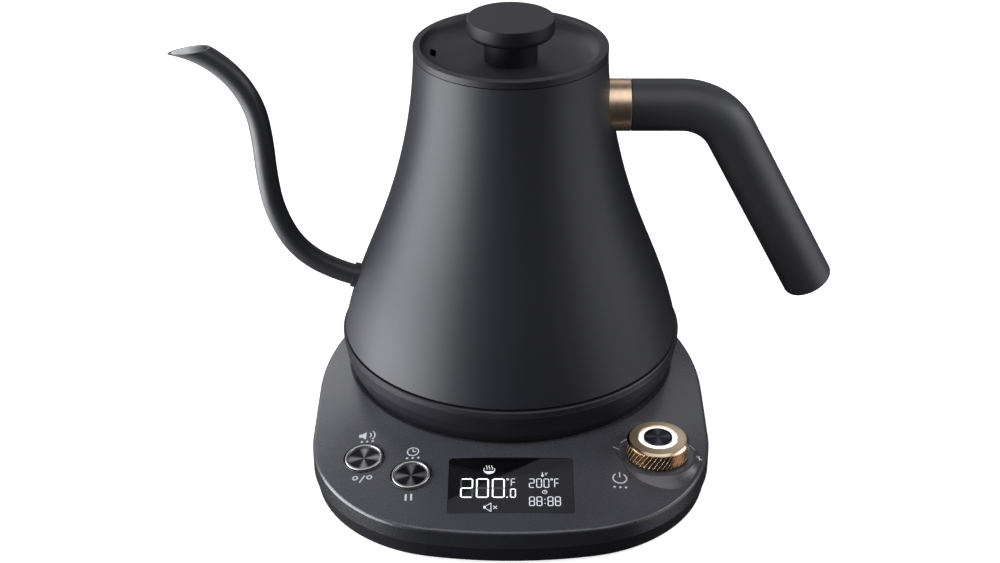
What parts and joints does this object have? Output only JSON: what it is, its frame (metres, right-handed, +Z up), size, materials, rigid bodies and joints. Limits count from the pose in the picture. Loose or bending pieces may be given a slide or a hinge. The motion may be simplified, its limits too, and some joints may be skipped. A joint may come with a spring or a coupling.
{
  "type": "electric gooseneck kettle",
  "caption": "Electric gooseneck kettle with a lift-off lid, on a cordless control base with a sloping panel, display window, round buttons and a knurled brass dial.",
  "frame": {"origin": "on the table, on the kettle's own vertical axis, which is also the axis of the cordless connector", "axes": "+Z up; the handle points along +X, the spout along -X and the control panel faces -Y"},
  "size_m": [0.2877, 0.2039, 0.1894],
  "materials": {
    "satin_black_paint": "soft matte charcoal paint",
    "base_plastic": "fine matte charcoal plastic",
    "black_plastic": "matte black moulded plastic",
    "trim_black": "satin black ring",
    "satin_brass": "satin turned brass",
    "spun_steel": "dark spun metal caps",
    "bright_trim": "bright turned bezel rings",
    "display_glass": "glossy black window",
    "display_parts": "liquid crystal cell and light guide",
    "white_light": "milky white light guide",
    "stainless": "brushed stainless steel",
    "aluminium_plate": "cast aluminium",
    "zinc_steel": "zinc plated steel",
    "contact_metal": "bare copper alloy",
    "circuit_board": "green glass laminate",
    "component": "moulded components",
    "silicone": "grey silicone",
    "black_rubber": "black rubber"
  },
  "bodies": {
    "base": {"base_top_shell": "base_plastic", "base_bottom_cover": "black_plastic", "rubber_feet": "black_rubber", "base_screws": "zinc_steel", "cord_gland": "black_rubber", "connector_tower": "black_plastic", "tower_contacts": "contact_metal", "control_board": "circuit_board", "power_board": "circuit_board", "heater_relay": "black_plastic", "supply_transformer": "component", "filter_capacitors": "component", "cord_terminal": "black_plastic", "buzzer": "black_plastic", "tact_switches": "black_plastic", "knob_board": "circuit_board", "encoder_ring": "black_plastic", "display_window": "display_glass", "display_module": "display_parts", "backlight_guide": "display_parts", "button_bezels": "bright_trim", "light_ring": "white_light"},
    "unit_button": {"unit_button": "spun_steel"},
    "timer_button": {"timer_button": "spun_steel"},
    "dial": {"dial_ring": "satin_brass", "dial_carrier": "black_plastic"},
    "start_button": {"start_button": "spun_steel"},
    "connector_plug": {"plug_housing": "black_plastic", "plug_contacts": "contact_metal"},
    "kettle": {"spout_tube": "satin_black_paint", "spout_collar": "satin_black_paint", "kettle_shell": "satin_black_paint", "kettle_floor": "stainless", "neck_ring": "stainless", "heat_spreader": "aluminium_plate", "heating_element": "stainless", "element_pins": "contact_metal", "temperature_sensor": "stainless", "dry_boil_cutout": "black_plastic", "skirt": "black_plastic", "skirt_lip": "trim_black", "underside_cover": "black_plastic", "underside_screws": "zinc_steel", "handle_grip": "satin_black_paint", "handle_core": "stainless", "handle_end_cap": "black_plastic", "handle_collar": "satin_brass", "handle_bolt": "zinc_steel"},
    "lid": {"lid_plate": "satin_black_paint", "lid_cup": "stainless", "lid_seal": "silicone", "lid_grip": "satin_black_paint", "lid_stem": "satin_black_paint", "lid_screw": "zinc_steel"}
  },
  "joints": [
    {"name": "kettle_lift", "type": "slide", "parent": "base", "child": "connector_plug", "axis": [0, 0, 1], "range_m": [0, 0.12]},
    {"name": "kettle_turn", "type": "hinge", "parent": "connector_plug", "child": "kettle", "pos_m": [0, 0, 0.0375], "axis": [0, 0, 1], "continuous": true},
    {"name": "lid_lift", "type": "slide", "parent": "kettle", "child": "lid", "axis": [0, 0, 1], "range_m": [0, 0.07]},
    {"name": "dial_turn", "type": "hinge", "parent": "base", "child": "dial", "pos_m": [0.0622, -0.0756, 0.0265], "axis": [0, 0, 1], "continuous": true},
    {"name": "start_press", "type": "slide", "parent": "base", "child": "start_button", "axis": [0, 0, -1], "range_m": [0, 0.0008], "stiffness_N_per_m": 600, "springref_m": -0.0006},
    {"name": "unit_press", "type": "slide", "parent": "base", "child": "unit_button", "axis": [0.0979, 0.122, -0.9877], "range_m": [0, 0.0008], "stiffness_N_per_m": 600, "springref_m": -0.0006},
    {"name": "timer_press", "type": "slide", "parent": "base", "child": "timer_button", "axis": [0.0658, 0.1419, -0.9877], "range_m": [0, 0.0008], "stiffness_N_per_m": 600, "springref_m": -0.0006}
  ]
}
